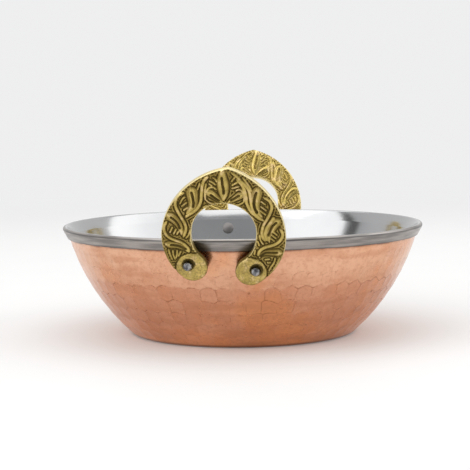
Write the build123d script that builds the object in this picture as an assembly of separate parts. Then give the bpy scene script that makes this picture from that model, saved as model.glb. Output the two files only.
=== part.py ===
from build123d import *

# A kadai: a shallow two-handled serving pan, hand-hammered copper outside and stainless steel inside.
# Two spun sheets nest in each other.  The steel one turns out at the top and is hemmed over the edge of
# the copper one, which locks the two together and leaves a steel band round the rim.  Two cast brass
# handles, flat horseshoes with a peaked crown, stand outside the rim and lean out with the wall.  Each
# has two round feet with a boss behind, cut to the curve of the copper, and a rivet through each foot.
#
# Millimetres.  +Z is up, the origin is the middle of the flat base, and the handles stand at -Y and +Y.
import os
from math import acos, cos, radians, sin, sqrt, tan

# Bowl, over all
rim_diameter = 150.0
bowl_height = 45.5

# Sheets
copper_thickness = 0.6
steel_thickness = 0.6
sheet_gap = 0.1               # between the two sheets, and round the edge of the copper in the hem

# Wall section, on the outer face of the copper, from the base up
base_corner_radius = 3.0
wall_angle_at_base = 42.0     # degrees above level, where the corner ends
wall_angle_at_neck = 73.5     # degrees above level, where the lip starts
lip_bend_radius = 2.0
lip_flare = 28.0              # degrees out from upright
lip_run = 4.0                 # straight part of the lip, from its bend to the copper's edge
hem_end_step = 0.2            # how far above the bend the hem stops

# Handle, seen square on.  Heights are above the line through its two rivets.
handle_width = 45.8
crown_height = 40.6
ring_height = 13.0            # centre of the round lower part
grip_width = 23.6             # the finger opening
grip_rise = 1.9               # how much taller than round the opening is
foot_angle = 38.0             # degrees from straight down to the middle of a foot's round end
handle_thickness = 3.4
handle_edge_round = 0.9
boss_radius = 4.2             # the round boss behind each foot
front_rivet_spacing = 25.2
back_rivet_spacing = 22.6     # the holes were drilled by hand, these ones closer together

# How a handle stands on the bowl
handle_lean = 22.0            # degrees out from upright
rivet_drop = 11.1             # from the rim down to the rivet line on the handle's face
handle_stand_off = 2.0        # room between the rim and the back of the handle, at the finger opening
front_handle_tilt = 5.5       # degrees clockwise: this one was riveted on a little askew
back_handle_tilt = 0.0
tilt_pivot_height = 32.8      # where that turn has its centre, above the rivet line
seat_gap = 0.05               # between a boss, or a rivet's head, and the sheet that it sits on

# Rivets
shank_radius = 1.3
shank_gap = 0.08
head_radius = 2.6
head_height = 1.1
head_edge = 0.35              # height of the head's upright edge, under its dome
tail_radius = 1.7             # the shank's end, peened over in the foot's dish
tail_height = 1.5             # how far the tail stands out of the handle
tail_dome = 1.1
dish_radius = 2.5             # the dished recess round the tail in the face of the foot
dish_depth = 1.0

# Faces of the sheets, as depths inside the copper's outer face
copper_inside = copper_thickness
steel_outside = copper_inside + sheet_gap
steel_inside = steel_outside + steel_thickness
hem_inside = -sheet_gap
hem_outside = hem_inside - steel_thickness
fold_radius = (steel_inside - hem_outside) / 2
fold_middle = copper_thickness / 2

# The wall's long curve takes what the base corner and the lip leave of the bowl's height and radius
base_turn = radians(wall_angle_at_base)
neck_turn = radians(wall_angle_at_neck)
lip_turn = radians(90 - lip_flare)
lip_bend = wall_angle_at_neck + lip_flare - 90
lip_rise = (lip_bend_radius * (cos(lip_turn) - cos(neck_turn)) + lip_run * sin(lip_turn)
            + fold_middle * cos(lip_turn) + fold_radius)
lip_reach = (lip_bend_radius * (sin(neck_turn) - sin(lip_turn)) + lip_run * cos(lip_turn)
             - fold_middle * sin(lip_turn) + fold_radius)
neck_height = bowl_height - lip_rise
neck_radius = rim_diameter / 2 - lip_reach
wall_rise = neck_height - base_corner_radius * (1 - cos(base_turn))
wall_radius = wall_rise / (cos(base_turn) - cos(neck_turn))
base_radius = (neck_radius - wall_radius * (sin(neck_turn) - sin(base_turn))
               - base_corner_radius * sin(base_turn))

# A handle's face at its rivets, so that its back stands clear of the rim
lean = radians(handle_lean)
grip_radius = grip_width / 2
rivet_height = bowl_height - rivet_drop
rim_at_grip = sqrt((rim_diameter / 2) ** 2 - grip_radius ** 2)
rivet_reach = (rim_at_grip + handle_stand_off + handle_thickness / cos(lean)
               - (rivet_drop - fold_radius) * tan(lean))

# The sphere that touches the copper all round where the rivets go in.  It follows the wall closely
# there, so the bosses and the rivets' heads are cut to it, and it stays centred for every depth.
seat_height = rivet_height + (rivet_reach - neck_radius) * tan(lean)
seat_turn = acos(cos(neck_turn) + (neck_height - seat_height) / wall_radius)
seat_reach = neck_radius - wall_radius * (sin(neck_turn) - sin(seat_turn))
seat_radius = seat_reach / sin(seat_turn)
seat_middle = seat_height + seat_radius * cos(seat_turn)

# Long enough to pass from a handle's face right through the wall
through_wall = bowl_height / 2


def wall_line(depth):
    """The bowl's section from the axis to the lip, at a depth inside the copper's outer face."""
    floor = Line((0, depth), (base_radius, depth))
    corner = JernArc(floor @ 1, floor % 1, base_corner_radius - depth, wall_angle_at_base)
    wall = JernArc(corner @ 1, corner % 1, wall_radius - depth, wall_angle_at_neck - wall_angle_at_base)
    bend = JernArc(wall @ 1, wall % 1, lip_bend_radius + depth, -lip_bend)
    lip = Line(bend @ 1, bend @ 1 + (bend % 1) * lip_run)
    return [floor, corner, wall, bend, lip]


def turned(edges):
    """A closed section in the X-Z plane, turned about the bowl's axis."""
    return revolve(Plane.XZ * make_face(edges), Axis.Z)


def filled(depth):
    """Everything inside the wall line at a depth, carried straight up above the lip."""
    line = wall_line(depth)
    lip_end = line[-1] @ 1
    top = lip_end.Y + crown_height
    return turned([*line, Line(lip_end, (lip_end.X, top)), Line((lip_end.X, top), (0, top)),
                   Line((0, top), line[0] @ 0)])


def copper_sheet():
    """The outer sheet, cut square at its edge inside the hem."""
    outer = wall_line(0)
    inner = wall_line(copper_inside)
    return turned([*outer, Line(outer[-1] @ 1, inner[-1] @ 1), *inner, Line(inner[0] @ 0, outer[0] @ 0)])


def hemmed_steel():
    """The inner sheet, folded out over the copper's edge and back down its outer face."""
    inner = wall_line(steel_inside)
    outer = wall_line(steel_outside)
    fold = JernArc(inner[-1] @ 1, inner[-1] % 1, fold_radius, -180)
    hem_run = lip_run - hem_end_step
    leaf = Line(fold @ 1, fold @ 1 + (fold % 1) * hem_run)
    across = (outer[-1] @ 1 - fold @ 1).normalized()
    hem_edge = Line(leaf @ 1, leaf @ 1 + across * steel_thickness)
    leaf_back = Line(hem_edge @ 1, hem_edge @ 1 - (fold % 1) * (hem_run + sheet_gap))
    pocket_wall = Line(outer[-1] @ 1 - (fold % 1) * sheet_gap, outer[-1] @ 1)
    pocket = Line(leaf_back @ 1, pocket_wall @ 0)
    return turned([*inner, fold, leaf, hem_edge, leaf_back, pocket, pocket_wall, *outer,
                   Line(outer[0] @ 0, inner[0] @ 0)])


def seat_sphere(depth):
    """The sphere that stands for the wall at the rivets, at a depth inside the copper's outer face."""
    return Pos(0, 0, seat_middle) * Sphere(seat_radius - depth)


def bowl_envelope():
    """The bowl's outside, hem and all, grown by the seat gap: what the handles must stay clear of."""
    hem_band = split(filled(hem_outside - seat_gap), Plane.XY.offset(neck_height), keep=Keep.TOP)
    return seat_sphere(-seat_gap) + hem_band


def ring_point(radius, degrees_from_bottom):
    """A point on the handle's right side, on a circle about the ring's centre."""
    turn = radians(degrees_from_bottom)
    return Vector(radius * sin(turn), ring_height - radius * cos(turn))


def half_horseshoe():
    """Right half of the handle's outline: a ring with a peaked crown, open between two round feet."""
    outer = handle_width / 2
    grip = grip_radius
    crown = Vector(0, crown_height)
    foot_turn = radians(foot_angle)
    foot_tip = (ring_point((outer + grip) / 2, foot_angle)
                - Vector(cos(foot_turn), sin(foot_turn)) * (outer - grip) / 2)
    belly_angle = (90 + foot_angle) / 2
    arch = TangentArc(ring_point(outer, 90), crown, tangent=(0, 1))
    belly = ThreePointArc(ring_point(outer, 90), ring_point(outer, belly_angle),
                          ring_point(outer, foot_angle))
    foot_end = ThreePointArc(belly @ 1, foot_tip, ring_point(grip, foot_angle))
    throat = ThreePointArc(foot_end @ 1, ring_point(grip, belly_angle), ring_point(grip, 90))
    jamb = Line(throat @ 1, throat @ 1 + Vector(0, grip_rise))
    opening = JernArc(jamb @ 1, jamb % 1, grip, 90)
    spine = Line(opening @ 1, crown)
    return make_face([arch, belly, foot_end, throat, jamb, opening, spine])


def handle_face(tilt):
    """Where the front handle's face lies: X across it, Y up it from the rivet line, Z out of it."""
    upright = Plane(origin=(0, -rivet_reach, rivet_height), x_dir=(1, 0, 0),
                    z_dir=(0, -cos(lean), -sin(lean)))
    pivot = Pos(0, tilt_pivot_height)
    return upright.location * pivot * Rot(0, 0, -tilt) * pivot.inverse()


def rivet_places(spacing):
    """The two rivets' places on a handle's face, the one on its left first."""
    return [Pos(-spacing / 2, 0), Pos(spacing / 2, 0)]


def rivet_hole():
    """What a rivet's shank takes out of all that it passes through."""
    return Cylinder(shank_radius + shank_gap, 2 * through_wall)


def rounded_plate():
    """The flat casting without its bosses.  Each half is rounded before they meet at the crown's peak."""
    half = extrude(half_horseshoe(), -handle_thickness)
    faces = half.faces().sort_by(Axis.Z)
    spines_aside = faces[0].edges().sort_by(Axis.X)[1:] + faces[-1].edges().sort_by(Axis.X)[1:]
    half = fillet(spines_aside, handle_edge_round)
    return half + mirror(half, Plane.YZ)


def handle(face, rivet_spacing):
    """A cast handle on its face's place: plate, bosses cut to the bowl, dished rivet holes."""
    body = rounded_plate()
    for place in rivet_places(rivet_spacing):
        boss = Cylinder(boss_radius, through_wall, align=(Align.CENTER, Align.CENTER, Align.MAX))
        body += place * Pos(0, 0, -handle_thickness / 2) * boss
    for place in rivet_places(rivet_spacing):
        dish = Cone(tail_radius + shank_gap, dish_radius, dish_depth,
                    align=(Align.CENTER, Align.CENTER, Align.MAX))
        body -= place * (dish + rivet_hole())
    return face * body - bowl_envelope()


def dome(top, radius, height):
    """A dome's section from its top on the axis, outwards and down."""
    cap_radius = (radius ** 2 + height ** 2) / (2 * height)
    return RadiusArc((0, top), (radius, top - height), cap_radius)


def rivet(place):
    """A rivet on its place: domed head inside the bowl, shank, and peened tail in the handle's dish."""
    wall = seat_sphere(steel_inside + seat_gap)
    probe = place * Line((0, 0, 0), (0, 0, -through_wall))
    grip_length = through_wall - (probe & wall).length
    tail_seat = seat_gap - dish_depth
    tail_top = dome(tail_height, tail_radius, tail_dome)
    body = Polyline(tail_top @ 1, (tail_radius, tail_seat), (shank_radius, tail_seat),
                    (shank_radius, -grip_length - head_edge), (0, -grip_length - head_edge), (0, tail_height))
    shank = revolve(Plane.XZ * make_face([tail_top, *body.edges()]), Axis.Z)
    head_top = dome(head_height, head_radius, head_height - head_edge)
    flank = Polyline(head_top @ 1, (head_radius, -head_radius), (0, -head_radius), (0, head_height))
    head = revolve(Plane.XZ * make_face([head_top, *flank.edges()]), Axis.Z)
    seated_head = (place * Pos(0, 0, -grip_length) * Rot(180, 0, 0) * head) & wall
    return place * shank + seated_head


front_face = handle_face(front_handle_tilt)
back_face = Rot(0, 0, 180) * handle_face(back_handle_tilt)
front_rivets = [front_face * place for place in rivet_places(front_rivet_spacing)]
back_rivets = [back_face * place for place in rivet_places(back_rivet_spacing)]

outer_shell = copper_sheet()
inner_bowl = hemmed_steel()
for place in front_rivets + back_rivets:
    outer_shell -= place * rivet_hole()
    inner_bowl -= place * rivet_hole()

parts = {
    "outer_shell": outer_shell,
    "inner_bowl": inner_bowl,
    "handle_front": handle(front_face, front_rivet_spacing),
    "handle_back": handle(back_face, back_rivet_spacing),
    "rivet_front_left": rivet(front_rivets[0]),
    "rivet_front_right": rivet(front_rivets[1]),
    "rivet_back_right": rivet(back_rivets[0]),
    "rivet_back_left": rivet(back_rivets[1]),
}

os.makedirs("parts", exist_ok=True)
for name, solid in parts.items():
    export_step(solid, f"parts/{name}.step")
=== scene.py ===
from math import acos, ceil, cos, pi, radians, sin, sqrt, tan

import bmesh
import bpy
import numpy as np
from mathutils import Matrix, Vector


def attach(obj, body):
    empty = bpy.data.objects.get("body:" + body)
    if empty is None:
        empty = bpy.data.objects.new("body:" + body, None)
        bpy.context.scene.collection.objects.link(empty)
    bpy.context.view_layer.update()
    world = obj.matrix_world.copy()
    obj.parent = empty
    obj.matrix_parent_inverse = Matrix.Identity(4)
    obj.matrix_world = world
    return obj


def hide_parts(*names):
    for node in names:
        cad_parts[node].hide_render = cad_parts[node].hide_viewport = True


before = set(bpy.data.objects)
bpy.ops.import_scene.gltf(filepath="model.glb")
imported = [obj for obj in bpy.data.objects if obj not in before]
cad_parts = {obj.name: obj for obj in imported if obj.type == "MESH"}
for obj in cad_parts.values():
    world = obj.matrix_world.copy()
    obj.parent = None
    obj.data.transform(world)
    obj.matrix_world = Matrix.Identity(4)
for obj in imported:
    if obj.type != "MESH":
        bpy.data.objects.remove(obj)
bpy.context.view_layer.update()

# The table and the studio.
# A pale table top without an edge, under one wide soft lamp overhead, with a soft panel at either side
# and a white ceiling.  The room behind the camera is grey, and the polished steel mirrors it.  A narrow
# dark stand at the left is there for the steel alone: only mirrored rays see it.
mm = 0.001
table_half = 9.0
table_colour = (0.96, 0.955, 0.95, 1)
backdrop_colour = (0.86, 0.86, 0.865, 1)
room_colour = (0.47, 0.475, 0.48, 1)
stand_colour = (0.18, 0.18, 0.175, 1)
ceiling_colour = (1.0, 1.0, 1.0, 1)
fill_colour = (0.47, 0.47, 0.47, 1)
table_mark_colour = (0.86, 0.85, 0.845, 1)
room_from = 0.3  # directions here are unit long: X right, Y back, Z up
room_full = -0.35
ceiling_from = 0.74
ceiling_full = 0.80
stand_from = -0.5
stand_full = -0.7
stand_middle = -0.05
stand_edge = 0.10
stand_core = 0.05
stand_top = 0.62
table_clear_from = 0.35
table_clear_to = 0.9
table_glow = 0.13


def new_tree(owner):
    """The emptied node tree of a material or world."""
    owner.use_nodes = True
    owner.node_tree.nodes.clear()
    return owner.node_tree


def put(tree, kind, settings=None, **inputs):
    """Adds a node.  Each input is a value to set, or a socket to link from.  It goes by its name, or by
    its number, as in i0."""
    node = tree.nodes.new(kind)
    for name, value in (settings or {}).items():
        setattr(node, name, value)
    for name, value in inputs.items():
        numbered = name[0] == "i" and name[1:].isdigit()
        socket = node.inputs[int(name[1:]) if numbered else name.replace("_", " ")]
        if isinstance(value, bpy.types.NodeSocket):
            tree.links.new(value, socket)
        else:
            socket.default_value = value
    return node


def calc(tree, operation, a, b=0.0):
    """One sum, product or other operation on two numbers, or on one."""
    return put(tree, "ShaderNodeMath", {"operation": operation}, i0=a, i1=b).outputs[0]


def ramped(tree, value, low, high, to_low=0.0, to_high=1.0):
    """A number carried smoothly from one range to another."""
    kind = {"interpolation_type": "SMOOTHSTEP"}
    return put(tree, "ShaderNodeMapRange", kind, Value=value, From_Min=low, From_Max=high,
               To_Min=to_low, To_Max=to_high).outputs[0]


def blended(tree, share, a, b):
    """Two colours mixed: the first where the share is 0, the second where it is 1."""
    return put(tree, "ShaderNodeMix", {"data_type": "RGBA"}, i0=share, i6=a, i7=b).outputs[2]


def on_object(tree):
    """Each place on the surface, in the object's own coordinates."""
    return put(tree, "ShaderNodeTexCoord").outputs["Object"]


def noise(tree, place, scale, detail):
    """Soft random clouds between 0 and 1."""
    return put(tree, "ShaderNodeTexNoise", Vector=place, Scale=scale, Detail=detail).outputs["Fac"]


def seen_by_eye_or_gloss(tree):
    """The kinds of ray, and 1 where a ray comes from the camera, or from a mirror or glass."""
    rays = put(tree, "ShaderNodeLightPath")
    either = calc(tree, "MAXIMUM", rays.outputs["Is Camera Ray"], rays.outputs["Is Glossy Ray"])
    return rays, calc(tree, "MAXIMUM", either, rays.outputs["Is Transmission Ray"])


world = bpy.data.worlds.new("studio")
bpy.context.scene.world = world
tree = new_tree(world)
rays, seen = seen_by_eye_or_gloss(tree)
direction = put(tree, "ShaderNodeTexCoord").outputs["Generated"]
towards = put(tree, "ShaderNodeSeparateXYZ", Vector=direction)
room_share = ramped(tree, towards.outputs["Y"], room_full, room_from, 1.0, 0.0)
room_share = calc(tree, "MULTIPLY", room_share, calc(tree, "SUBTRACT", 1.0, rays.outputs["Is Camera Ray"]))
surround = blended(tree, room_share, backdrop_colour, room_colour)
surround = blended(tree, ramped(tree, towards.outputs["Z"], ceiling_from, ceiling_full), surround,
                   ceiling_colour)
stand_side = ramped(tree, towards.outputs["X"], stand_from, stand_full)
off_stand = calc(tree, "ABSOLUTE", calc(tree, "SUBTRACT", towards.outputs["Y"], stand_middle))
stand_share = calc(tree, "MULTIPLY", stand_side, ramped(tree, off_stand, stand_edge, stand_core))
below_ceiling = ramped(tree, towards.outputs["Z"], ceiling_from, stand_top)
stand_share = calc(tree, "MULTIPLY", stand_share, below_ceiling)
stand_share = calc(tree, "MULTIPLY", stand_share, rays.outputs["Is Glossy Ray"])
surround = blended(tree, stand_share, surround, stand_colour)
lit = blended(tree, seen, fill_colour, surround)
glow = put(tree, "ShaderNodeBackground", Color=lit, Strength=1.0)
put(tree, "ShaderNodeOutputWorld", Surface=glow.outputs[0])

bm = bmesh.new()
bmesh.ops.create_grid(bm, x_segments=1, y_segments=1, size=table_half)
mesh = bpy.data.meshes.new("table")
bm.to_mesh(mesh)
bm.free()
table = bpy.data.objects.new("table", mesh)
bpy.context.scene.collection.objects.link(table)
table_top = bpy.data.materials.new("pale table")
tree = new_tree(table_top)
place = on_object(tree)
away = put(tree, "ShaderNodeVectorMath", {"operation": "LENGTH"}, i0=place).outputs["Value"]
grain = noise(tree, place, 30.0, 4.0)
tint = blended(tree, ramped(tree, grain, 0.3, 0.7, 0.0, 0.06), table_colour, table_mark_colour)
paint = put(tree, "ShaderNodeBsdfPrincipled", Base_Color=tint, Roughness=0.6, IOR=1.25)
far = put(tree, "ShaderNodeEmission", Color=backdrop_colour, Strength=1.0)
fade = ramped(tree, away, table_clear_from, table_clear_to, table_glow, 1.0)
surface = put(tree, "ShaderNodeMixShader", i0=fade, i1=paint.outputs[0], i2=far.outputs[0])
put(tree, "ShaderNodeOutputMaterial", Surface=surface.outputs[0])
mesh.materials.append(table_top)


def soft_panel(name, middle, aim, width, height, brightness):
    """A soft lamp panel that faces a point."""
    lamp = bpy.data.lights.new(name, "AREA")
    lamp.shape = "RECTANGLE"
    lamp.size = width
    lamp.size_y = height
    lamp.energy = brightness * pi * width * height
    panel = bpy.data.objects.new(name, lamp)
    bpy.context.scene.collection.objects.link(panel)
    panel.location = middle
    panel.rotation_euler = (Vector(middle) - Vector(aim)).to_track_quat("Z", "Y").to_euler()


def around_front(bearing, distance, height):
    """A place at a bearing in degrees to the right of the front, seen from above the pan."""
    turn = radians(bearing)
    return (distance * sin(turn), -distance * cos(turn), height)


over_pan = (-0.14, 0.02)
panel_distance = 1.0
panel_middle = 0.62
panel_height = 1.1
aim = (0, 0, 0.05)
soft_panel("overhead", (*over_pan, 1.2), (*over_pan, 0), 1.5, 1.7, 0.95)
soft_panel("right panel", around_front(91, panel_distance, panel_middle), aim, 1.2, panel_height, 1.25)
soft_panel("left panel", around_front(-54.5, panel_distance, panel_middle), aim, 1.04, panel_height, 1.52)

# The camera: about 0.6 m in front of the pan, a little above the rim and to its right.
camera_place = Vector((38.6, -602.8, 95.9)) * mm
camera_heading = radians(-3.97)
camera_dip = radians(5.27)
camera_roll = radians(-0.76)
sensor_width = 36.0
focal_pixels = 1442.0
photo_pixels = 470.0

camera_data = bpy.data.cameras.new("camera")
camera_data.sensor_width = sensor_width
camera_data.lens = focal_pixels * sensor_width / photo_pixels
camera = bpy.data.objects.new("camera", camera_data)
bpy.context.scene.collection.objects.link(camera)
ahead = Vector((sin(camera_heading) * cos(camera_dip), cos(camera_heading) * cos(camera_dip),
                -sin(camera_dip)))
level_right = Vector((cos(camera_heading), -sin(camera_heading), 0))
level_up = level_right.cross(ahead)
right = cos(camera_roll) * level_right + sin(camera_roll) * level_up
up = cos(camera_roll) * level_up - sin(camera_roll) * level_right
turn = Matrix((right, up, -ahead)).transposed()
camera.matrix_world = Matrix.Translation(camera_place) @ turn.to_4x4()
bpy.context.scene.camera = camera
bpy.context.scene.view_settings.view_transform = "Standard"

# The copper shell.
# One sheet of copper, spun to a shallow bowl with a flat base and then hammered by hand in rows from
# the base up.  Each blow leaves a shallow dish with a brown line along its ridges, and the top rows are
# struck more lightly.  The top edge is gripped in the steel's hem.
rim_radius = 75.0
bowl_height = 45.5
sheet = 0.6
sheet_gap = 0.1
base_corner = 3.0
turn_at_base = radians(42)
turn_at_neck = radians(73.5)
turn_at_lip = radians(62)
lip_bend = 2.0
lip_run = 4.0
fold_radius = sheet + sheet_gap + sheet / 2
lip_rise = (lip_bend * (cos(turn_at_lip) - cos(turn_at_neck)) + lip_run * sin(turn_at_lip)
            + sheet / 2 * cos(turn_at_lip) + fold_radius)
lip_reach = (lip_bend * (sin(turn_at_neck) - sin(turn_at_lip)) + lip_run * cos(turn_at_lip)
             - sheet / 2 * sin(turn_at_lip) + fold_radius)
neck_height = bowl_height - lip_rise
neck_radius = rim_radius - lip_reach
wall_radius = ((neck_height - base_corner * (1 - cos(turn_at_base)))
               / (cos(turn_at_base) - cos(turn_at_neck)))
base_radius = (neck_radius - wall_radius * (sin(turn_at_neck) - sin(turn_at_base))
               - base_corner * sin(turn_at_base))
wall_run = wall_radius * (turn_at_neck - turn_at_base)

around_steps = 800
ring_pitch = 0.56  # between rings of points, up the wall
row_height = 6.2
first_row_at = 1.0  # up the wall from its foot
facet_width = 6.0
rows = 8
soft_rows_from = 5  # counted from 0, and up to the top
facet_depth = 0.19
soft_facet_depth = 0.13
dish_curve = 0.62  # share of its depth that a dish loses by its side
scallop = 0.5  # share that it is rounder at its top than in its middle
ridge_reach = 0.19  # points this near a ridge move on to it
ridge_steep = 0.035  # least bend that makes a ridge
line_steep = 0.10  # bend from which its line is full
blow_reach_up = 1.3  # rows
blow_reach_across = 1.5  # facets
bearing_scatter = 0.14  # share of a facet
run_scatter = 0.35
depth_scatter = 0.25
most_lean_across = 0.012
most_lean_up = 0.010
deepest_dent = 0.4
blow_seed = 11
smooth_margin = 1.2  # fades the blows out at the wall's foot and neck
on_face_within = 0.05
past_end_within = 0.01
line_share_by_row = np.array([0.76, 0.80, 0.90, 0.98, 1.0, 0.87, 0.80, 0.77])
soft_edge_share = 1.12  # for the line under the soft rows
upright_share = 0.91  # for lines within a row


def wall_point(turn, depth):
    """Radius and height on the long curve of the wall, where it has turned that far from level."""
    across = np.sin(turn)
    level = np.cos(turn)
    radius = base_radius + base_corner * sin(turn_at_base) + wall_radius * (across - sin(turn_at_base))
    height = base_corner * (1 - cos(turn_at_base)) + wall_radius * (cos(turn_at_base) - level)
    return radius - depth * across, height + depth * level


def wall_section(depth, corner_steps, wall_steps, bend_steps, lip_steps):
    """The bowl's section from the axis to the lip's end, at a depth inside the copper's outer face."""
    points = [(0.0, depth)]
    for step in range(corner_steps + 1):
        turn = turn_at_base * step / corner_steps
        radius = base_corner - depth
        points.append((base_radius + radius * sin(turn), base_corner - radius * cos(turn)))
    for step in range(1, wall_steps + 1):
        points.append(wall_point(turn_at_base + (turn_at_neck - turn_at_base) * step / wall_steps, depth))
    middle = (neck_radius + lip_bend * sin(turn_at_neck), neck_height - lip_bend * cos(turn_at_neck))
    for step in range(1, bend_steps + 1):
        turn = turn_at_neck + (turn_at_lip - turn_at_neck) * step / bend_steps
        radius = lip_bend + depth
        points.append((middle[0] - radius * sin(turn), middle[1] + radius * cos(turn)))
    for step in range(lip_steps):
        points.append((points[-1][0] + lip_run / lip_steps * cos(turn_at_lip),
                       points[-1][1] + lip_run / lip_steps * sin(turn_at_lip)))
    return points


def spun(section, steps):
    """A section from the axis and back to it, turned right round: an eighth, doubled three times."""
    eighth = 2 * pi / 8
    bm = bmesh.new()
    corners = [bm.verts.new((radius * mm, 0, height * mm)) for radius, height in section]
    edges = [bm.edges.new(pair) for pair in zip(corners, corners[1:])]
    bmesh.ops.spin(bm, geom=corners + edges, axis=(0, 0, 1), cent=(0, 0, 0), dvec=(0, 0, 0),
                   angle=eighth, steps=steps // 8, use_merge=False, use_duplicate=False)
    for doubling in range(3):
        copied = bmesh.ops.duplicate(bm, geom=bm.verts[:] + bm.edges[:] + bm.faces[:])["geom"]
        moved = [part for part in copied if isinstance(part, bmesh.types.BMVert)]
        bmesh.ops.rotate(bm, verts=moved, cent=(0, 0, 0),
                         matrix=Matrix.Rotation(eighth * 2 ** doubling, 3, "Z"))
    bmesh.ops.remove_doubles(bm, verts=bm.verts, dist=1e-3 * mm)
    bmesh.ops.recalc_face_normals(bm, faces=bm.faces)
    return bm


def make_piece(bm, name, slot, material, *nodes):
    """The mesh as a piece of the pan, in place of CAD nodes."""
    for face in bm.faces:
        face.smooth = True
    mesh = bpy.data.meshes.new(name)
    bm.to_mesh(mesh)
    bm.free()
    mesh.materials.append(material)
    piece = bpy.data.objects.new(name, mesh)
    bpy.context.scene.collection.objects.link(piece)
    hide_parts(*nodes)
    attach(piece, "root")


def hammer_blows(chance):
    """Each blow's bearing, run up the wall, the bowl's radius there, depth, lean across and up, tone and
    row."""
    blows = []
    for row in range(rows):
        run = first_row_at + row_height * (row + 0.5)
        radius = wall_point(turn_at_base + run / wall_radius, 0)[0]
        count = round(2 * pi * radius / facet_width)
        start = chance.uniform(0, 2 * pi)
        soft = row >= soft_rows_from
        for blow in range(count):
            blows.append((
                start + 2 * pi * (blow + chance.uniform(-bearing_scatter, bearing_scatter)) / count,
                run + chance.uniform(-run_scatter, run_scatter),
                radius,
                (soft_facet_depth if soft else facet_depth)
                * chance.uniform(1 - depth_scatter, 1 + depth_scatter),
                chance.uniform(-most_lean_across, most_lean_across),
                chance.uniform(-most_lean_up, most_lean_up),
                chance.uniform(0, 1),
                row,
            ))
    return np.array(blows)


def blow_depth(bearings, runs, blow):
    """How deep one blow cuts, below zero where it cuts, and how steep it is across and up.  The dish is
    tighter across its top half, which scallops the rows."""
    bearing, run, radius, depth, lean_across, lean_up = blow[:6]
    across = ((bearings - bearing + pi) % (2 * pi) - pi) * radius
    up = runs - run
    bend_across = dish_curve * depth / (facet_width / 2) ** 2
    bend_up = dish_curve * depth / (row_height / 2) ** 2
    half = row_height / 2
    rounder = 1 + scallop * np.clip(up / half, -1, 1)
    value = (bend_across * rounder * across ** 2 + bend_up * up ** 2 - depth
             + lean_across * across + lean_up * up)
    steep_across = 2 * bend_across * rounder * across + lean_across
    rounding = np.where(np.abs(up) < half, bend_across * scallop / half, 0)
    steep_up = 2 * bend_up * up + lean_up + rounding * across ** 2
    return value, steep_across, steep_up


def nearest_blows(bearings, runs, blows):
    """For each place, which blow cut deepest there and which came next."""
    best = np.full(len(runs), 1e9)
    second = np.full(len(runs), 1e9)
    first_blow = np.zeros(len(runs), int)
    second_blow = np.zeros(len(runs), int)
    for number, blow in enumerate(blows):
        beside = np.cos(bearings - blow[0]) > cos(facet_width * blow_reach_across / blow[2])
        near = np.flatnonzero(beside & (np.abs(runs - blow[1]) < row_height * blow_reach_up))
        value = blow_depth(bearings[near], runs[near], blow)[0]
        wins = value < best[near]
        second_blow[near] = np.where(wins, first_blow[near],
                                     np.where(value < second[near], number, second_blow[near]))
        second[near] = np.where(wins, best[near], np.minimum(second[near], value))
        first_blow[near] = np.where(wins, number, first_blow[near])
        best[near] = np.where(wins, value, best[near])
    return first_blow, second_blow


wall_steps = ceil(wall_run / ring_pitch)
outer = wall_section(0, corner_steps=6, wall_steps=wall_steps, bend_steps=3, lip_steps=3)
inner = wall_section(sheet, corner_steps=4, wall_steps=12, bend_steps=2, lip_steps=1)
bm = spun(outer + inner[::-1], around_steps)
blows = hammer_blows(np.random.default_rng(blow_seed))
ridge_layer = bm.verts.layers.float.new("ridge")
tone_layer = bm.verts.layers.float.new("tone")
soft_layer = bm.verts.layers.float.new("soft")
verts = list(bm.verts)
places = np.array([vert.co for vert in verts]) / mm
radii = np.hypot(places[:, 0], places[:, 1])
bearings = np.arctan2(places[:, 1], places[:, 0])
curve_middle = (base_radius + base_corner * sin(turn_at_base) - wall_radius * sin(turn_at_base),
                base_corner * (1 - cos(turn_at_base)) + wall_radius * cos(turn_at_base))
out_radius = np.hypot(radii - curve_middle[0], places[:, 2] - curve_middle[1])
turns = np.arctan2(radii - curve_middle[0], curve_middle[1] - places[:, 2])
runs = (turns - turn_at_base) * wall_radius
on_face = np.abs(out_radius - wall_radius) < on_face_within
on_wall = np.flatnonzero(on_face & (runs > -past_end_within) & (runs < wall_run + past_end_within))
bearings = bearings[on_wall]
runs = runs[on_wall]
first_blow, second_blow = nearest_blows(bearings, runs, blows)
own_blow = blows[first_blow].T
other_blow = blows[second_blow].T
own_radius, own_tone, own_row = own_blow[2], own_blow[6], own_blow[7]
other_row = other_blow[7]
own, own_across, own_up = blow_depth(bearings, runs, own_blow)
other, other_across, other_up = blow_depth(bearings, runs, other_blow)
steep = np.maximum(np.hypot(other_across - own_across, other_up - own_up), 1e-6)
to_ridge = (other - own) / steep
edge_fade = np.clip(runs / smooth_margin, 0, 1) * np.clip((wall_run - runs) / smooth_margin, 0, 1)
step = np.where((to_ridge < ridge_reach) & (edge_fade > 0.5) & (steep > ridge_steep), to_ridge, 0) / steep
bearings = bearings - step * (other_across - own_across) / own_radius
runs = runs - step * (other_up - own_up)
dent = -np.clip(blow_depth(bearings, runs, own_blow)[0], -deepest_dent, 0) * edge_fade
to_ridge = np.where(step > 0, 0, to_ridge)
new_radii, heights = wall_point(turn_at_base + runs / wall_radius, dent)
ridges = np.clip(1 - to_ridge, 0, 1) * edge_fade * np.clip(steep / line_steep, 0, 1)
ridges = ridges * line_share_by_row[own_row.astype(int)]
ridges = ridges * np.where(own_row == other_row, upright_share, 1.0)
soft_edge = (np.minimum(own_row, other_row) == soft_rows_from - 1) & (own_row != other_row)
ridges = np.where(soft_edge, np.minimum(ridges * soft_edge_share, 1), ridges)
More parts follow.
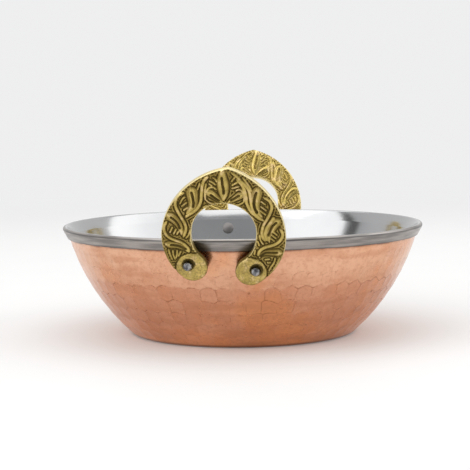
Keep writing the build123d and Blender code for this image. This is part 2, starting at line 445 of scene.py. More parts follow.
for index, bearing, radius, height, ridge, shade, lightly in zip(
        on_wall, bearings, new_radii, heights, ridges, own_tone, own_row >= soft_rows_from):
    vert = verts[index]
    vert.co = (radius * cos(bearing) * mm, radius * sin(bearing) * mm, height * mm)
    vert[ridge_layer] = ridge
    vert[tone_layer] = shade
    vert[soft_layer] = lightly


def wear_group():
    """Clouds and specks of wear, and the fine unevenness of a metal's skin, shared by all the metals."""
    group = bpy.data.node_groups.new("wear", "ShaderNodeTree")
    for name, kind in (("Place", "NodeSocketVector"), ("Coarse", "NodeSocketFloat"),
                       ("Fine", "NodeSocketFloat"), ("Relief", "NodeSocketFloat")):
        group.interface.new_socket(name, in_out="INPUT", socket_type=kind)
    for name, kind in (("Cloud", "NodeSocketFloat"), ("Speck", "NodeSocketFloat"),
                       ("Normal", "NodeSocketVector")):
        group.interface.new_socket(name, in_out="OUTPUT", socket_type=kind)
    given = put(group, "NodeGroupInput").outputs
    cloud = put(group, "ShaderNodeTexNoise", Vector=given["Place"], Scale=given["Coarse"], Detail=5.0,
                Roughness=0.62).outputs["Fac"]
    speck = put(group, "ShaderNodeTexNoise", Vector=given["Place"], Scale=given["Fine"], Detail=3.0,
                Roughness=0.7).outputs["Fac"]
    bump = put(group, "ShaderNodeBump", Height=speck, Strength=given["Relief"], Distance=0.00006)
    put(group, "NodeGroupOutput", Cloud=cloud, Speck=speck, Normal=bump.outputs[0])
    return group


def worn_skin(tree, place, coarse, fine, relief):
    """The shared wear at a size that suits one metal."""
    return put(tree, "ShaderNodeGroup", {"node_tree": wear}, Place=place, Coarse=coarse, Fine=fine,
               Relief=relief).outputs


def painted(tree, layer):
    """What the mesh says at each place in one of its own layers."""
    return put(tree, "ShaderNodeAttribute", {"attribute_name": layer}).outputs["Fac"]


def finish_metal(tree, colour, rough, normal, **more):
    """Ends a metal's material."""
    metal = put(tree, "ShaderNodeBsdfPrincipled", Base_Color=colour, Roughness=rough, Normal=normal,
                **{"Metallic": 1.0, **more})
    put(tree, "ShaderNodeOutputMaterial", Surface=metal.outputs[0])


# The wall's colour carries painted light. It is lighter higher up and in the soft top rows, and darker and
# more orange at the foot, where the copper mirrors the lit table and the shade under the bowl.
shaded_low_copper = (0.65, 0.315, 0.19, 1)
lit_high_copper = (0.74, 0.42, 0.27, 1)
shaded_foot_copper = (0.77, 0.352, 0.17, 1)
bright_copper = (0.90, 0.56, 0.40, 1)
orange_copper = (0.80, 0.34, 0.13, 1)
cloud_copper = (0.58, 0.24, 0.12, 1)
speck_copper = (0.50, 0.21, 0.11, 1)
streak_copper = (0.56, 0.25, 0.135, 1)
# a painted contact shadow round the bottom edge
painted_contact_shadow = (0.22, 0.08, 0.04, 1)
ridge_brown = (0.31, 0.115, 0.055, 1)
# painted shadow on the copper just under the steel's hem
painted_hem_shadow = (0.13, 0.06, 0.04, 1)
hem_shadow_from = neck_height - 0.8
hem_shadow_full = neck_height + 0.4
pit_brown = (0.24, 0.08, 0.035, 1)

wear = wear_group()
copper = bpy.data.materials.new("hammered copper")
tree = new_tree(copper)
place = on_object(tree)
skin = worn_skin(tree, place, 45.0, 620.0, 0.5)
tone = painted(tree, "tone")
ridge = painted(tree, "ridge")
height = put(tree, "ShaderNodeSeparateXYZ", Vector=place).outputs["Z"]
soft = painted(tree, "soft")
# painted light: lighter up the wall and in the soft top rows, darker towards the foot
rise = ramped(tree, height, 0.022, 0.035, 0.0, 0.45)
lighter = calc(tree, "ADD", calc(tree, "MULTIPLY", soft, 0.55), rise)
colour = blended(tree, lighter, shaded_low_copper, lit_high_copper)
colour = blended(tree, ramped(tree, height, 0.012, 0.003), colour, shaded_foot_copper)
colour = blended(tree, ramped(tree, tone, 0, 1, 0.0, 0.18), colour, bright_copper)
blotch = noise(tree, place, 48.0, 3.5)
low = ramped(tree, height, 0.03, 0.012, 0.5, 0.62)
blotched = calc(tree, "MULTIPLY", ramped(tree, blotch, 0.47, 0.66), low)
colour = blended(tree, blotched, colour, orange_copper)
colour = blended(tree, ramped(tree, skin["Cloud"], 0.4, 0.72, 0.0, 0.48), colour, cloud_copper)
colour = blended(tree, ramped(tree, skin["Speck"], 0.45, 0.72, 0.0, 0.42), colour, speck_copper)
turned = put(tree, "ShaderNodeMapping", Vector=place, Scale=(1.0, 1.0, 6.0)).outputs[0]
turning = noise(tree, turned, 38.0, 4.0)
streaked = calc(tree, "MULTIPLY", ramped(tree, turning, 0.47, 0.68), low)
colour = blended(tree, streaked, colour, streak_copper)
# painted contact shadow in a thin band round the bottom edge
colour = blended(tree, ramped(tree, height, 0.0016, 0.0004, 0.0, 0.75), colour, painted_contact_shadow)
patchy = noise(tree, place, 130.0, 3.0)
line = calc(tree, "MULTIPLY", ramped(tree, ridge, 0.52, 1.02), ramped(tree, patchy, 0.43, 0.61, 0.08, 1.0))
colour = blended(tree, calc(tree, "MULTIPLY", line, 0.62), colour, ridge_brown)
# painted shadow, in patches, on the copper just under the steel's hem
near_hem = ramped(tree, height, hem_shadow_from * mm, hem_shadow_full * mm)
hem_shadow = calc(tree, "MULTIPLY", near_hem, ramped(tree, patchy, 0.36, 0.6, 0.25, 0.85))
colour = blended(tree, hem_shadow, colour, painted_hem_shadow)
cells = put(tree, "ShaderNodeTexVoronoi", Vector=place, Scale=150.0)
pick = put(tree, "ShaderNodeSeparateColor", Color=cells.outputs["Color"]).outputs[0]
near_middle = ramped(tree, cells.outputs["Distance"], 0.14, 0.04)
pit = calc(tree, "MULTIPLY", ramped(tree, pick, 0.82, 0.84), near_middle)
colour = blended(tree, calc(tree, "MULTIPLY", pit, 0.65), colour, pit_brown)
dullness = ramped(tree, skin["Cloud"], 0.3, 0.7, 0.19, 0.29)
rough = calc(tree, "ADD", dullness, calc(tree, "MULTIPLY", line, 0.12))
finish_metal(tree, colour, rough, skin["Normal"])
make_piece(bm, "copper_shell", "copper", copper, "outer_shell")

# The steel bowl.
# A second sheet, of stainless steel, spun to line the copper and polished.  At the top it turns out and
# is folded down over the copper's edge, which leaves the dull grey band round the rim.
bowl_steps = 480
bowl_lip_steps = 8
fold_steps = 14
hem_round_steps = 4
steel_depth = 2 * sheet + sheet_gap
lip_bow = -0.07  # of the lip's inner face; negative is inwards
hem_step = 0.2
hem_run = lip_run - hem_step
hem_round = 0.25
# painted shade lines on the hem: one under the fold's top, one along its lower edge
under_fold = -0.55  # its dark line; negative is above the fold's end
under_fold_width = 0.35
hem_end_width = 0.8
dull_from = 0.55  # inwards of the fold's middle, in fold radii
dull_blend = 0.5
inside = wall_section(steel_depth, corner_steps=8, wall_steps=60, bend_steps=5, lip_steps=bowl_lip_steps)
outside = wall_section(sheet + sheet_gap, corner_steps=3, wall_steps=14, bend_steps=2, lip_steps=1)
lip_out = Vector((sin(turn_at_lip), -cos(turn_at_lip)))
lip_up = Vector((cos(turn_at_lip), sin(turn_at_lip)))
for step in range(1, bowl_lip_steps):
    share = step / bowl_lip_steps
    from_end = step - bowl_lip_steps - 1
    inside[from_end] = tuple(Vector(inside[from_end]) + lip_out * lip_bow * 4 * share * (1 - share))
fold_middle = Vector(inside[-1]) + lip_out * fold_radius
fold = []
for step in range(1, fold_steps + 1):
    turn = pi * step / fold_steps
    fold.append(tuple(fold_middle - lip_out * fold_radius * cos(turn) + lip_up * fold_radius * sin(turn)))
hem = []
for share in (0.2, 0.4, 0.6, 0.8, 0.92):
    hem.append(tuple(Vector(fold[-1]) - lip_up * hem_run * share))
corner = Vector(fold[-1]) - lip_up * (hem_run - hem_round) - lip_out * hem_round
for step in range(hem_round_steps + 1):
    turn = pi / 2 * step / hem_round_steps
    hem.append(tuple(corner + lip_out * hem_round * cos(turn) - lip_up * hem_round * sin(turn)))
hem.append(tuple(Vector(fold[-1]) - lip_up * hem_run - lip_out * sheet))
hem.append(tuple(Vector(fold[-1]) - lip_out * sheet + lip_up * sheet_gap))
hem.append(tuple(Vector(outside[-1]) + lip_up * sheet_gap))
bm = spun(inside + fold + hem + outside[::-1], bowl_steps)
dull_layer = bm.verts.layers.float.new("dull")
shade_line_layer = bm.verts.layers.float.new("line")
for vert in bm.verts:
    from_fold = Vector((vert.co.xy.length, vert.co.z)) / mm - fold_middle
    outwards = from_fold.dot(lip_out)
    down = -from_fold.dot(lip_up)
    if outwards > -fold_radius * dull_from and down < hem_run + sheet:
        vert[dull_layer] = min((outwards / fold_radius + dull_from) / dull_blend, 1.0)
        # This layer marks painted shade: a dark line just below the fold's top, and one along the hem's
        # lower edge.
        vert[shade_line_layer] = max(1 - abs(down - under_fold) / under_fold_width,
                               1 - abs(down - hem_run) / hem_end_width, 0)

cool_steel = (0.43, 0.433, 0.437, 1)
clear_steel = (0.47, 0.471, 0.473, 1)
dark_hem = (0.213, 0.20, 0.19, 1)
light_hem = (0.405, 0.375, 0.352, 1)
painted_shade_black = (0.05, 0.05, 0.052, 1)

steel = bpy.data.materials.new("polished steel")
tree = new_tree(steel)
place = on_object(tree)
skin = worn_skin(tree, place, 28.0, 900.0, 0.1)
cloud = skin["Cloud"]
streaks = put(tree, "ShaderNodeMapping", Vector=place, Scale=(1.0, 1.0, 14.0)).outputs[0]
streak = noise(tree, streaks, 60.0, 4.0)
line = painted(tree, "line")
dull = painted(tree, "dull")
colour = blended(tree, ramped(tree, cloud, 0.3, 0.7), cool_steel, clear_steel)
banded = blended(tree, ramped(tree, streak, 0.3, 0.7), dark_hem, light_hem)
# painted shade lines, nearly black, below the fold's top and along the hem's lower edge
banded = blended(tree, calc(tree, "MULTIPLY", line, 0.85), banded, painted_shade_black)
colour = blended(tree, dull, colour, banded)
rough = calc(tree, "ADD", ramped(tree, cloud, 0.3, 0.75, 0.12, 0.18), calc(tree, "MULTIPLY", dull, 0.2))
finish_metal(tree, colour, rough, skin["Normal"])
make_piece(bm, "steel_bowl", "steel", steel, "inner_bowl")

# The brass handles.
# Two castings from one pattern: a flat horseshoe with a peaked crown, carved all over with leaf scrolls,
# that ends in two plain round feet.  The carving has gone dark, and the raised parts are rubbed bright.
# A painted highlight lightens the rounded edges higher up, and painted shade, with some tarnish, darkens
# the lower back, sides and feet.
handle_half = 22.9
crown_height = 40.6
ring_height = 13.0
grip_half = 11.8
grip_rise = 1.9
foot_turn = radians(38)
plate = 3.4
edge_round = 0.9
boss_radius = 4.2
front_rivet_half_spacing = 12.6
back_rivet_half_spacing = 11.3
lean = radians(22)
rivet_height = 34.4
stand_off = 2.0
front_tilt = radians(5.5)
tilt_pivot = 32.8
seat_gap = 0.05
carving_depth = 0.8
rim_band = 0.3
crown_hollow = 0.55
foot_share = 0.075  # of the way from a foot's tip to the crown
ring_share = 0.42  # where the ring turns to the peaked arch
outline_stretch = 1.1
edge_crowding = 0.35  # how far points crowd to the outline
crease = 0.22  # fold along each side of a leaf
crease_at = 0.45  # from its edge, 0, to its middle, 1
crease_width = 0.11
petal_top = 1.0  # tops and depths are shares of carving_depth
petal_width = 4.6
leaf_top = 1.0
leaf_spread = 1.16
band_top = 0.95
wide_band = 1.45
line_top = 0.85
narrow_band = 0.95
slot_depth = 0.9
slot_width = 1.05
tooth_pitch = 1.25
tooth_length = 1.7
tooth_slant = 0.4
tooth_top = 0.6
echo_pitch = 1.0
echo_top = 0.72
pattern_shift = (0.5, -0.85)
dish_radius = 2.75
dish_slope = 1.5  # width of the dish's side, which is 1 mm deep
dish_shift = 0.3
dish_lift = 0.55
pad_radius = 6.1  # the plain round of a foot
groove = 0.55
shade_and_tarnish_up_to = 11  # painted shade and tarnish below this, from the rivet line up
shade_and_tarnish_fade = 4
low_face_shade_and_tarnish = 0.6
low_side_shade_and_tarnish = 0.7
edge_highlight_full_from = 9  # the painted highlight on the edges grows from the rivet line to full strength here
boss_shade_and_tarnish = 0.55
boss_length = 2.0
boss_sunk = 0.6  # share of the plate
boss_steps = 48
# The back handle's patina and painted shade are painted paler than the front's: a lighter-lit copy of the
# same brass.
front_darkening = 1.0
back_darkening = 0.32
along_steps = 520
across_steps = 60
side_steps = 4
round_steps = 2 * across_steps + 2 * side_steps
foot_radius = (handle_half - grip_half) / 2
ring_middle = (handle_half + grip_half) / 2
foot_place = Vector((ring_middle * sin(foot_turn), ring_height - ring_middle * cos(foot_turn)))
rivet_reach = (sqrt(rim_radius ** 2 - grip_half ** 2) + stand_off + plate / cos(lean)
               - (bowl_height - fold_radius - rivet_height) * tan(lean))

# Carving strokes, read off the casting, in mm on its face: X across, Y up from the rivet line.
# A leaf starts at its round head and thins to its tail.  The petal and its slot lie where they were
# read, and the other strokes are set over by pattern_shift.
petal = [(-0.8, 28.3), (-1.0, 31), (-1.4, 34), (-1.8, 37), (-1.9, 40.4)]
petal_slot = [(-2, 37.2), (-1.6, 34.5), (-1.1, 32.5), (-0.9, 30.6)]
leaves = [
    (3.0, [(-7.1, 31.6), (-5.7, 31.0), (-4.1, 29.8), (-2.6, 28.7), (-1.2, 27.9)]),
    (2.9, [(5.2, 31.7), (4.0, 30.9), (2.6, 29.8), (1.3, 28.9), (0.2, 28.1)]),
    (4.0, [(10.6, 34.6), (10.5, 32), (10.3, 29.5), (10.6, 27), (11.5, 25), (13.2, 23.2)]),
    (3.4, [(19.3, 22.8), (18, 21), (16.9, 19), (16, 17), (16, 15), (16.4, 13)]),
    (2.9, [(21.2, 9.4), (19.3, 9.3), (17.3, 9.1), (15.4, 8.8), (14, 8), (12.9, 6.4)]),
    (4.4, [(-13, 32.6), (-12.7, 30), (-12.3, 27.5), (-12.5, 25.4), (-13.4, 23.6), (-14.6, 22.4)]),
    (3.6, [(-21.3, 21.2), (-19.6, 20.2), (-18, 18.8), (-16.7, 17), (-16, 15), (-15.9, 13.4)]),
    (2.7, [(-21.6, 9.3), (-19.5, 9.1), (-17.3, 9), (-15.4, 8.4), (-14, 7.6), (-12.9, 6.6)]),
]
bands = [
    [(1, 40), (3, 38.6), (4.5, 37), (6, 35.7), (7.3, 34), (8, 32), (8.5, 29.5), (8.8, 28),
     (9.5, 26), (10.5, 24.5), (12, 23), (13.5, 22)],
    [(3, 37.5), (4.5, 36), (5.5, 34.5), (6.3, 32.5), (6.8, 30.5), (7, 28.8), (7.8, 26.8), (9, 25),
     (10.5, 23.8), (12.5, 22.2)],
    [(13, 31.3), (15, 30.2), (16, 28.5), (16.2, 26.8), (15.6, 24.5), (14.8, 22.5), (14, 20.8),
     (13.5, 19), (13.3, 17), (13.8, 15.2), (14.8, 13.8)],
    [(17.3, 23.5), (16.5, 22), (15.7, 20.5), (15, 19), (14.6, 17), (14.8, 15.5), (15.5, 14)],
    [(19.9, 19), (20.8, 17.5), (20.9, 16), (20.3, 14.5), (19.3, 13.2), (17.8, 12.2), (16, 11.5),
     (14.3, 10.6), (13, 9.2), (12.6, 7.5)],
    [(-7.4, 37.7), (-8.7, 36.2), (-9.3, 33.8), (-9.4, 31), (-9.4, 28.5), (-9.8, 26.5), (-10.6, 24.8),
     (-12, 23.2), (-13.6, 22), (-14.6, 21)],
    [(-15.8, 30.6), (-17.3, 29.8), (-18.3, 28.5), (-18.7, 26.5), (-18.4, 24.6), (-17.4, 22.5),
     (-16.2, 20.5), (-15, 18.5), (-14.4, 16.5), (-14.6, 14.5), (-15.2, 12.8)],
    [(-21.5, 18.5), (-22.4, 16.5), (-22.2, 14.5), (-21.4, 13), (-20, 11.9), (-18, 11.1),
     (-16.2, 10.6), (-14.6, 9.6), (-13.3, 8.2), (-12.8, 6.8)],
]
lines = [
    [(-7.9, 28.5), (-8, 30.5), (-7.6, 32), (-6.8, 33.3), (-5.4, 33.8), (-4.2, 33)],
    [(-7.6, 28.5), (-6.5, 27.6), (-5, 27.3)],
    [(6.0, 28.7), (6.1, 30.5), (5.8, 32), (5.1, 33.2), (4, 33.7), (2.9, 33)],
    [(5.8, 28.6), (4.6, 27.7), (3.4, 27.4)],
    [(-5.6, 37.6), (-4.7, 37), (-4.2, 36)],
    [(-6.8, 36.2), (-5.5, 35.6), (-4.5, 34.8)],
    [(-6.9, 35), (-5.8, 34.4)],
    [(1.1, 36.5), (2.2, 38.3)],
    [(1.3, 35), (3.3, 36.5)],
    [(1.4, 33.8), (3.9, 34.9)],
    [(-8.6, 25.4), (-7, 26.3)],
    [(5.6, 26.3), (7, 25.5)],
    [(5, 38.5), (6.5, 36.7), (7.7, 35.1), (8.5, 33.4)],
    [(-7.9, 35), (-8.2, 32), (-8.1, 29.5)],
    [(-10.2, 35), (-10.9, 32.2)],
    [(12.2, 29.6), (14, 28.4)],
    [(12.2, 27.6), (14.5, 26)],
    [(12, 26), (14.3, 24.3)],
    [(17, 18), (19, 16.5)],
    [(16.8, 16.5), (18.7, 15.1)],
    [(16.7, 15), (18.1, 14)],
    [(-17, 26), (-16.2, 28), (-15.3, 29)],
    [(-16.4, 25.1), (-14.5, 26.9)],
    [(-15.6, 23.6), (-14, 25)],
    [(-20.2, 14), (-19.3, 16.5)],
    [(-18.8, 13.6), (-17.9, 15.8)],
    [(-17.6, 13.5), (-17, 15)],
    [(12.5, 16), (13.1, 13.8), (14.2, 12.3)],
    [(12, 13.5), (12.8, 11.5)],
    [(11.4, 9.7), (11.2, 7.7)],
    [(-12.8, 16), (-13.3, 13.8), (-14.2, 12.3)],
    [(-12.2, 13.2), (-12.6, 11.2)],
    [(-11.4, 9.7), (-11.3, 7.7)],
    [(19, 7), (18.6, 5), (17.6, 3), (17, 1.5)],
    [(20.5, 7), (19.6, 4), (18.6, 2)],
    [(15.2, 6), (17, 6.4)],
    [(16.2, 4.8), (17.4, 5)],
    [(-20.4, 7.2), (-19.7, 5), (-18.8, 3)],
    [(-18.8, 6.9), (-18.5, 4.9), (-17.8, 3.2)],
    [(-17.2, 7.1), (-17.2, 5.5), (-17.4, 3.8)],
    [(-15.8, 6.8), (-16.6, 4.6)],
]
slots = [
    [(-6.2, 30.8), (-4.5, 29.6), (-2.9, 28.6)],
    [(4.3, 31.3), (2.8, 30.1), (1.3, 29)],
    [(10.3, 33.2), (9.9, 31), (9.8, 28.5), (10.2, 26.6), (11.2, 24.9)],
    [(18.4, 21.7), (17.1, 20), (16.3, 18), (15.8, 16)],
    [(19.7, 9.3), (17.6, 9.1), (15.8, 8.9), (14.5, 8.3), (13.6, 7.3)],
    [(-13.1, 31.2), (-12.5, 29.3), (-12.1, 27), (-12.2, 25.2)],
    [(-20.2, 20.5), (-18.6, 19.4), (-17.3, 17.8), (-16.5, 16)],
    [(-19.8, 9.1), (-17.4, 9), (-15.4, 8.4), (-14, 7.6)],
]


def smooth_line(points, pieces=7):
    """A smooth line through points, as many short straight pieces."""
    dots = [Vector(point) for point in points]
    dots = [2 * dots[0] - dots[1], *dots, 2 * dots[-1] - dots[-2]]
    line = []
    for a, b, c, d in zip(dots, dots[1:], dots[2:], dots[3:]):
        for step in range(pieces):
            t = step / pieces
            line.append(0.5 * (2 * b + (c - a) * t + (2 * a - 5 * b + 4 * c - d) * t ** 2
                               + (3 * b - a - 3 * c + d) * t ** 3))
    line.append(dots[-2])
    return line


def nearness(places, points, widths):
    """How far inside a stroke each place lies, from 0 at its edge to 1 on its middle line, and how far
    outside its edge, in mm."""
    line = smooth_line(points)
    inside = np.full(len(places), -1.0)
    outside = np.full(len(places), 99.0)
    for index, (a, b) in enumerate(zip(line, line[1:])):
        start = np.array(a)
        along = np.array(b) - start
        share = np.clip((places - start) @ along / (along @ along), 0, 1)
        gap = np.hypot(*(places - start - share[:, None] * along).T)
        half = widths((index + share) / (len(line) - 1)) / 2
        inside = np.maximum(inside, 1 - gap / np.maximum(half, 0.05))
        outside = np.minimum(outside, gap - half)
    return inside, outside


def leaf_width(width):
    """The width along a leaf: round at its head and thin at its tail."""
    return lambda t: width * np.sqrt(np.clip(t / 0.14, 0.02, 1)) * (1 - t) ** 0.55


def spindle_width(width):
    """The width along a petal, widest in its middle."""
    return lambda t: width * np.sin(pi * np.clip(t * 0.9 + 0.06, 0, 1)) ** 0.8


def band_width(width):
    """The width along a band, even but for its ends."""
    return lambda t: width * np.clip(np.minimum(t, 1 - t) / 0.08 + 0.55, 0, 1)


def rounded(inside):
    """The height of a raised stroke, round on top."""
    inside = np.clip(inside, 0, 1)
    return np.sqrt(inside * (2 - inside))


def carved_height(places, from_outline, outer_side, outline_run):
    """The carved face's height over the floor of the carving, as a share of its depth."""
    set_over = places - np.array(pattern_shift)
    strokes = [(places, petal_top, petal, spindle_width(petal_width), 0)]
    strokes += [(set_over, leaf_top, points, leaf_width(leaf_spread * width), crease)
                for width, points in leaves]
    strokes += [(set_over, band_top, points, band_width(wide_band), 0) for points in bands]
    strokes += [(set_over, line_top, points, band_width(narrow_band), 0) for points in lines]
    height = np.zeros(len(places))
    outside = np.full(len(places), 99.0)
    for where, top, points, widths, fold in strokes:
        inside, gap = nearness(where, points, widths)
        folded = fold * np.exp(-((inside - crease_at) / crease_width) ** 2)
        height = np.maximum(height, top * rounded(inside) - folded)
        outside = np.minimum(outside, gap)
    for where, points in [(places, petal_slot)] + [(set_over, slot) for slot in slots]:
        height -= slot_depth * rounded(nearness(where, points, band_width(slot_width))[0])
    echo = 0.5 + 0.5 * np.cos(2 * pi * (outside - echo_pitch * 0.6) / echo_pitch)
    height = np.maximum(height, np.where(outside > 0, echo_top * echo, 0))
    teeth = np.clip(1.5 * np.cos(2 * pi * (outline_run + tooth_slant * from_outline) / tooth_pitch), 0, 1)
    reach = np.where(outer_side, tooth_length, 0.8 * tooth_length)
    height = np.maximum(height, tooth_top * teeth * np.clip((reach - from_outline) / 0.4, 0, 1))
    band = np.where(outer_side, rim_band, rim_band * 1.5)
    height = np.maximum(height, np.clip((band - from_outline) / 0.25 + 0.5, 0, 1))
    feet = np.minimum(*(np.hypot(places[:, 0] - side * foot_place.x, places[:, 1] - foot_place.y)
                        for side in (-1, 1)))
    pad = np.clip((pad_radius - feet) / 0.2, 0, 1)
    moat = np.clip(1 - np.abs(feet - pad_radius - groove / 2) / (groove / 2), 0, 1)
    height = np.maximum(height * (1 - moat), pad)
    return np.clip(height, 0, 1), pad


def plate_points(t):
    """Outer and inner point of the horseshoe's outline at a share of its length, from foot tip to tip."""
    side = np.where(t < 0.5, -1.0, 1.0)
    run = 1 - np.abs(2 * t - 1)
    outer = np.zeros((len(t), 2))
    inner = np.zeros((len(t), 2))
    foot = run < foot_share
    turn = (1 - run[foot] / foot_share) * pi / 2
    across = np.array([sin(foot_turn), -cos(foot_turn)])
    down = np.array([-cos(foot_turn), -sin(foot_turn)])
    middle = np.array(foot_place)
    outer[foot] = middle + foot_radius * (np.outer(np.sin(turn), down) + np.outer(np.cos(turn), across))
    inner[foot] = middle + foot_radius * (np.outer(np.sin(turn), down) - np.outer(np.cos(turn), across))
    ring = (run >= foot_share) & (run < ring_share)
    turn = foot_turn + (pi / 2 - foot_turn) * (run[ring] - foot_share) / (ring_share - foot_share)
    ray = np.stack([np.sin(turn), -np.cos(turn)], 1)
    outer[ring] = [0, ring_height] + handle_half * ray
    inner[ring] = [0, ring_height] + grip_half * ray
    arch = run >= ring_share
    share = (run[arch] - ring_share) / (1 - ring_share)
    rise = crown_height - ring_height
    chord_turn = 2 * np.arctan2(handle_half, rise)
    arch_radius = handle_half / (1 - cos(chord_turn))
    outer[arch] = np.stack([handle_half - arch_radius * (1 - np.cos(share * chord_turn)),
                            ring_height + arch_radius * np.sin(share * chord_turn)], 1)
    hollow = crown_hollow * np.sin(pi * share)
    outer[arch] -= hollow[:, None] * np.stack([np.cos(share * chord_turn), np.sin(share * chord_turn)], 1)
    length = grip_rise + grip_half * pi / 2
    inner_run = share * length
    jamb = np.minimum(inner_run, grip_rise)
    bend = np.maximum(inner_run - grip_rise, 0) / grip_half
    inner[arch] = np.stack([grip_half * np.cos(bend), ring_height + jamb + grip_half * np.sin(bend)], 1)
    outer[:, 0] *= side
    inner[:, 0] *= side
    return outer, inner


def to_bowl(tilt, turned_round):
    """From the handle's own face to its place on the bowl."""
    upright = Matrix(((1, 0, 0, 0),
                      (0, -sin(lean), -cos(lean), -rivet_reach),
                      (0, cos(lean), -sin(lean), rivet_height),
                      (0, 0, 0, 1)))
    pivot = Matrix.Translation((0, tilt_pivot, 0))
    place = upright @ pivot @ Matrix.Rotation(-tilt, 4, "Z") @ pivot.inverted()
    return Matrix.Rotation(pi if turned_round else 0, 4, "Z") @ place


def handle_pattern():
    """Every place on the casting: a net that runs from foot to foot, and round it at each step.
    Gives each place's step round the casting, whether it is on the front or the back, where it lies,
    how far the rounded edge falls there, how high the carving stands and whether it is on a foot."""
    along = np.repeat(np.arange(along_steps + 1), round_steps + 1)
    step = np.tile(np.arange(round_steps + 1), along_steps + 1)
    t = along / along_steps
    front = step <= across_steps
    back = (step >= across_steps + side_steps) & (step <= 2 * across_steps + side_steps)
    w = np.where(front, -1 + 2 * step / across_steps,
                 np.where(back, 1 - 2 * (step - across_steps - side_steps) / across_steps,
                          np.where(step < across_steps + side_steps, 1.0, -1.0)))
    w = np.sin(w * pi / 2) * edge_crowding + w * (1 - edge_crowding)
    outer, inner = plate_points(t)
    places = (outer + inner) / 2 + (outer - inner) / 2 * w[:, None]
    from_outline = np.hypot(*(outer - inner).T) / 2 * (1 - np.abs(w))
    on_foot = (1 - np.abs(2 * t - 1)) < foot_share
    foot_gap = foot_radius - np.hypot(np.abs(places[:, 0]) - foot_place.x, places[:, 1] - foot_place.y)
    from_outline = np.where(on_foot, np.maximum(foot_gap, 0), from_outline)
    fall = edge_round - np.sqrt(np.maximum(edge_round ** 2
                                           - np.maximum(edge_round - from_outline, 0) ** 2, 0))
    outline_run = np.abs(2 * t - 1) * handle_half * (pi - foot_turn) * outline_stretch
    height = np.zeros(len(t))
    pad = np.zeros(len(t))
    height[front], pad[front] = carved_height(places[front], from_outline[front], w[front] > 0,
                                              outline_run[front])
    for row in range(along_steps + 1):
        start = row * (round_steps + 1)
        face = slice(start, start + across_steps + 1)
        behind = slice(start + across_steps + side_steps, start + 2 * across_steps + side_steps + 1)
        height[behind] = height[face][::-1]
        pad[behind] = pad[face][::-1]
    return step, front, back, places, fall, height, pad


def handle_mesh(pattern, rivet_half_spacing, darkening):
    """The casting on its own face, Z out of the face, in mm, with how dark each place is painted: patina
    in the carving's hollows, and painted shade low down and in the rivet's dish.
    """
    step, front, back, places, fall, height, pad = pattern
    bm = bmesh.new()
    bmesh.ops.create_grid(bm, x_segments=along_steps, y_segments=round_steps, size=1)
    recess = bm.verts.layers.float.new("recess")
    plain = bm.verts.layers.float.new("plain")
    edge = bm.verts.layers.float.new("edge")
    verts = list(bm.verts)
    grid = np.array([vert.co for vert in verts])
    order = (np.round((grid[:, 0] + 1) / 2 * along_steps) * (round_steps + 1)
             + np.round((grid[:, 1] + 1) / 2 * round_steps)).astype(int)
    cut = (1 - height) * carving_depth
    dish_gap = np.hypot(np.abs(places[:, 0]) - rivet_half_spacing - dish_shift * np.sign(places[:, 0]),
                        places[:, 1] - dish_lift)
    dish = np.clip((dish_radius - dish_gap) / dish_slope, 0, 1)
    side_share = np.where(step > 2 * across_steps + side_steps,
                          1 - (step - 2 * across_steps - side_steps) / side_steps,
                          (step - across_steps) / side_steps)
    z = np.where(front, -fall - np.maximum(cut, dish),
                 np.where(back, -plate + fall + cut, -edge_round - (plate - 2 * edge_round) * side_share))
    # The carving's hollows are dark with patina, and the rivet's dish is darkened as painted shade.
    deep = np.where(front, np.maximum(1 - height, dish), 1 - height)
    # Painted shade, with some tarnish, darkens the back face, the sides and the front's rounded rim low
    # down, where they face the copper; it fades out 11 mm above the rivet line.
    shade_and_tarnish = np.clip((shade_and_tarnish_up_to - places[:, 1]) / shade_and_tarnish_fade, 0, 1)
    at_rim = np.maximum(deep, low_face_shade_and_tarnish * shade_and_tarnish * fall / edge_round)
    deep = np.where(back, np.maximum(deep, low_face_shade_and_tarnish * shade_and_tarnish),
                    np.where(front, at_rim, low_side_shade_and_tarnish * shade_and_tarnish))
    # painted highlight along the rounded edges, full on the sides, growing from the rivet line up
    edge_highlight = np.where(front | back, np.clip(fall / edge_round * 2, 0, 1), 1.0)
    edge_highlight = edge_highlight * np.clip(places[:, 1] / edge_highlight_full_from, 0, 1)
    for vert, index in zip(verts, order):
        vert.co = (places[index, 0], places[index, 1], z[index])
        vert[recess] = deep[index] * darkening
        vert[plain] = pad[index]
        vert[edge] = edge_highlight[index]
    bmesh.ops.remove_doubles(bm, verts=bm.verts, dist=1e-4)
    bmesh.ops.recalc_face_normals(bm, faces=bm.faces)
    return bm


old_gold = (0.58, 0.44, 0.14, 1)
deep_gold = (0.40, 0.30, 0.085, 1)
warm_gold = (0.70, 0.52, 0.26, 1)
painted_edge_highlight_gold = (0.86, 0.74, 0.40, 1)
olive_brass = (0.25, 0.175, 0.045, 1)
foot_mark = (0.27, 0.20, 0.07, 1)
groove_brown = (0.078, 0.052, 0.008, 1)

brass = bpy.data.materials.new("carved brass")
tree = new_tree(brass)
place = on_object(tree)
recess = painted(tree, "recess")
plain = painted(tree, "plain")
edge = painted(tree, "edge")
skin = worn_skin(tree, place, 260.0, 1500.0, 0.8)
cloud = skin["Cloud"]
shine = blended(tree, ramped(tree, cloud, 0.3, 0.7), old_gold, deep_gold)
warm = noise(tree, place, 420.0, 3.0)
shine = blended(tree, ramped(tree, warm, 0.5, 0.68, 0.0, 0.75), shine, warm_gold)
# The dark share: patina in the carving's hollows, painted shade low down and in the rivet's dish, and
# cloudy tarnish.
patina_and_shade_share = calc(tree, "ADD", recess, calc(tree, "MULTIPLY", calc(tree, "SUBTRACT", cloud, 0.5), 0.4))
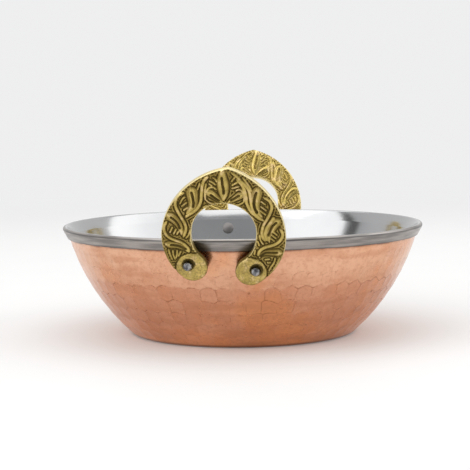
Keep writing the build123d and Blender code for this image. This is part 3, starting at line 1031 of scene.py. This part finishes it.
# painted highlight on the rounded edges, higher up the handle
shine = blended(tree, calc(tree, "MULTIPLY", edge, 0.7), shine, painted_edge_highlight_gold)
shine = blended(tree, ramped(tree, patina_and_shade_share, 0.08, 0.5), shine, olive_brass)
marked = calc(tree, "MULTIPLY", plain, ramped(tree, skin["Speck"], 0.44, 0.62, 0.0, 0.85))
shine = blended(tree, marked, shine, foot_mark)
colour = blended(tree, ramped(tree, patina_and_shade_share, 0.5, 0.95), shine, groove_brown)
rough = ramped(tree, patina_and_shade_share, 0.1, 0.7, 0.33, 0.6)
metal_share = ramped(tree, patina_and_shade_share, 0.45, 0.95, 1.0, 0.4)
finish_metal(tree, colour, rough, skin["Normal"], Metallic=metal_share, Specular_IOR_Level=0.25)

seat_height = rivet_height + (rivet_reach - neck_radius) * tan(lean)
seat_turn = acos(cos(turn_at_neck) + (neck_height - seat_height) / wall_radius)
seat_radius = wall_point(seat_turn, 0)[0] / sin(seat_turn)
seat_middle = Vector((0, 0, seat_height + seat_radius * cos(seat_turn)))


def add_boss(bm, place, side):
    """The round boss behind a foot, its end brought to the curve of the copper."""
    made = bmesh.ops.create_cone(bm, cap_ends=True, segments=boss_steps, radius1=boss_radius,
                                 radius2=boss_radius, depth=boss_length)["verts"]
    from_wall = place.inverted() @ seat_middle
    for vert in made:
        at_back = vert.co.z < 0
        vert.co.x += side
        if at_back:
            gap = Vector((vert.co.x - from_wall.x, vert.co.y - from_wall.y)).length
            vert.co.z = from_wall.z + sqrt((seat_radius + seat_gap) ** 2 - gap ** 2)
        else:
            vert.co.z = -plate * boss_sunk
        # the boss is darkened: painted shade behind the foot, with some tarnish
        vert[bm.verts.layers.float["recess"]] = boss_shade_and_tarnish


pattern = handle_pattern()
for name, tilt, turned_round, half_spacing, darkening in (
        ("handle_front", front_tilt, False, front_rivet_half_spacing, front_darkening),
        ("handle_back", 0.0, True, back_rivet_half_spacing, back_darkening)):
    bm = handle_mesh(pattern, half_spacing, darkening)
    place = to_bowl(tilt, turned_round)
    for side in (-half_spacing, half_spacing):
        add_boss(bm, place, side)
    bmesh.ops.transform(bm, matrix=Matrix.Scale(mm, 4) @ place, verts=bm.verts)
    make_piece(bm, "carved_" + name, "handle_brass", brass, name)

# The rivets.
# Four steel rivets, one through each foot: a round head on the steel inside, and outside the shank's end,
# peened over in the foot's dish with a few blows.
head_steel = (0.20, 0.19, 0.185, 1)
peened_dark = (0.09, 0.09, 0.10, 1)
peened_light = (0.38, 0.38, 0.39, 1)
head_reach = 72.5  # the heads lie within this, the tails beyond tail_reach
tail_reach = 74.5
rivet_names = ("rivet_front_left", "rivet_front_right", "rivet_back_left", "rivet_back_right")

rivet_steel = bpy.data.materials.new("rivet steel")
tree = new_tree(rivet_steel)
place = on_object(tree)
skin = worn_skin(tree, place, 420.0, 1500.0, 0.5)
flat = put(tree, "ShaderNodeVectorMath", {"operation": "MULTIPLY"}, i0=place, i1=(1, 1, 0)).outputs[0]
reach = put(tree, "ShaderNodeVectorMath", {"operation": "LENGTH"}, i0=flat).outputs["Value"]
outdoors = ramped(tree, reach, head_reach * mm, tail_reach * mm)
peened = blended(tree, ramped(tree, skin["Cloud"], 0.38, 0.62), peened_dark, peened_light)
colour = blended(tree, outdoors, head_steel, peened)
bump = put(tree, "ShaderNodeBump", Height=skin["Cloud"], Strength=outdoors, Distance=0.0006)
rough = ramped(tree, outdoors, 0, 1, 0.5, 0.3)
finish_metal(tree, colour, rough, bump.outputs[0])
for name in rivet_names:
    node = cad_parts[name]
    node.data.materials.clear()
    node.data.materials.append(rivet_steel)
